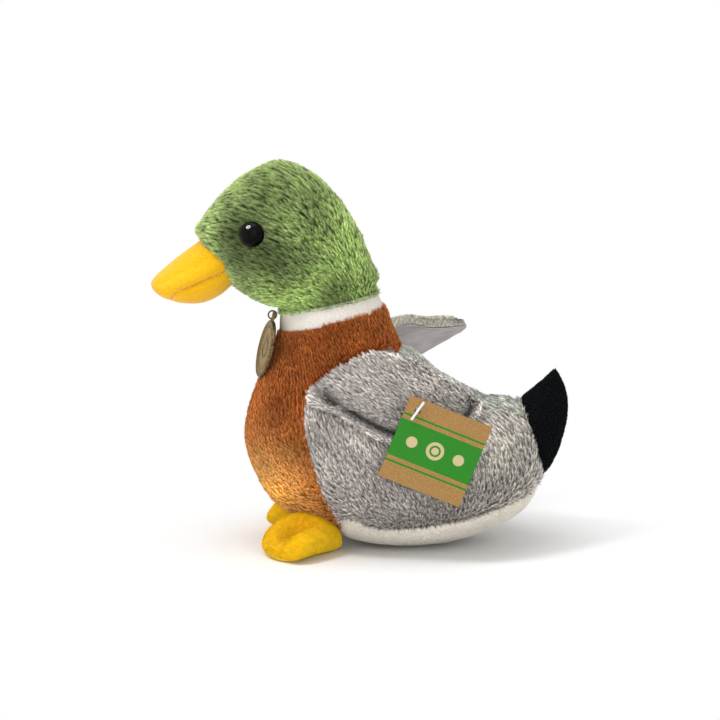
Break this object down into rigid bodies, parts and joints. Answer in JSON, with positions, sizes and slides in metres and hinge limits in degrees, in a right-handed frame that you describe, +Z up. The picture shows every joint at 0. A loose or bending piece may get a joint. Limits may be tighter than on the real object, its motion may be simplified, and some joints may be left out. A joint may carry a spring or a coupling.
{
  "type": "plush duck",
  "caption": "Sitting stuffed toy duck: flexible neck and turning head, two sewn wings that flap, two splayed feet, a square swing tag and a pressed medallion at the collar.",
  "frame": {"origin": "centre of the flat the belly rests on, on the floor", "axes": "+Z up from the floor, -Y the way the beak points, +X towards the duck's left side"},
  "size_m": [0.1378, 0.1999, 0.1856],
  "materials": {
    "breast_plush": "rust short-pile plush",
    "side_plush": "warm grey plush",
    "back_plush": "green-tinged grey plush",
    "belly_plush": "cream plush",
    "tail_plush": "black plush",
    "collar_plush": "off-white plush",
    "head_plush": "mid-green plush with lighter tips",
    "beak_plush": "yellow brushed short pile",
    "foot_plush": "yellow short-pile plush",
    "wing_lining_cloth": "lavender grey smooth knit",
    "polyester_fill": "white polyester fibre fill",
    "pellet_bag_cloth": "woven bag of bead fill",
    "eye_gloss": "gloss black",
    "washer_plastic": "white moulded",
    "kraft_card": "brown kraft card with a printed disc",
    "fastener_plastic": "clear-white moulded",
    "antique_brass": "antiqued, pressed relief",
    "ring_thread": "brown waxed thread"
  },
  "bodies": {
    "torso": {"torso_stuffing": "polyester_fill", "pellet_bag": "pellet_bag_cloth", "breast_panel": "breast_plush", "left_side_panel": "side_plush", "right_side_panel": "side_plush", "back_panel": "back_plush", "belly_panel": "belly_plush", "tail_panel": "tail_plush"},
    "neck": {"neck_stuffing": "polyester_fill", "collar_band": "collar_plush", "medallion_ring": "ring_thread"},
    "head": {"head_stuffing": "polyester_fill", "left_head_panel": "head_plush", "right_head_panel": "head_plush", "beak_stuffing": "polyester_fill", "beak_upper": "beak_plush", "beak_lower": "beak_plush", "left_eye": "eye_gloss", "left_eye_washer": "washer_plastic", "right_eye": "eye_gloss", "right_eye_washer": "washer_plastic"},
    "left_wing": {"left_wing_lining": "wing_lining_cloth", "left_wing_stuffing": "polyester_fill", "left_wing_cover": "side_plush"},
    "right_wing": {"right_wing_lining": "wing_lining_cloth", "right_wing_stuffing": "polyester_fill", "right_wing_cover": "side_plush"},
    "left_foot": {"left_foot_upper": "foot_plush", "left_foot_sole": "foot_plush", "left_foot_stuffing": "polyester_fill"},
    "right_foot": {"right_foot_upper": "foot_plush", "right_foot_sole": "foot_plush", "right_foot_stuffing": "polyester_fill"},
    "tag_fastener": {"tag_fastener": "fastener_plastic"},
    "tag_card": {"tag_card": "kraft_card"},
    "medallion": {"medallion": "antique_brass"}
  },
  "joints": [
    {"name": "neck_nod", "type": "hinge", "parent": "torso", "child": "neck", "pos_m": [0, -0.02572, 0.07104], "axis": [1, 0, 0], "range_deg": [-10, 6], "stiffness_Nm_per_rad": 1},
    {"name": "head_turn", "type": "hinge", "parent": "neck", "child": "head", "pos_m": [0, -0.02572, 0.07104], "axis": [0, -0.1981, 0.9802], "range_deg": [-20, 20], "stiffness_Nm_per_rad": 1},
    {"name": "left_wing_flap", "type": "hinge", "parent": "torso", "child": "left_wing", "pos_m": [0.03364, -0.02982, 0.09157], "axis": [0.2182, -0.8767, -0.4286], "range_deg": [0, 65], "stiffness_Nm_per_rad": 0.05},
    {"name": "right_wing_flap", "type": "hinge", "parent": "torso", "child": "right_wing", "pos_m": [-0.03564, -0.02982, 0.09157], "axis": [0.2182, 0.7359, 0.6409], "range_deg": [-18, 30], "stiffness_Nm_per_rad": 0.05},
    {"name": "left_foot_flex", "type": "hinge", "parent": "torso", "child": "left_foot", "pos_m": [0.01591, -0.03018, 0.00168], "axis": [0.788, 0.6157, 0], "range_deg": [0, 25], "stiffness_Nm_per_rad": 0.02},
    {"name": "right_foot_flex", "type": "hinge", "parent": "torso", "child": "right_foot", "pos_m": [-0.01591, -0.03018, 0.00168], "axis": [0.788, -0.6157, 0], "range_deg": [0, 25], "stiffness_Nm_per_rad": 0.02},
    {"name": "tag_lift", "type": "hinge", "parent": "left_wing", "child": "tag_fastener", "pos_m": [0.04767, 0.00623, 0.07359], "axis": [0, -1, 0], "range_deg": [0, 30]},
    {"name": "tag_swing", "type": "hinge", "parent": "tag_fastener", "child": "tag_card", "pos_m": [0.05372, 0.00623, 0.07359], "axis": [1, 0, 0], "range_deg": [-40, 30]},
    {"name": "medallion_swing", "type": "hinge", "parent": "neck", "child": "medallion", "pos_m": [0.00669, -0.06218, 0.10976], "axis": [-0.9703, -0.2419, 0], "range_deg": [0, 35]}
  ]
}
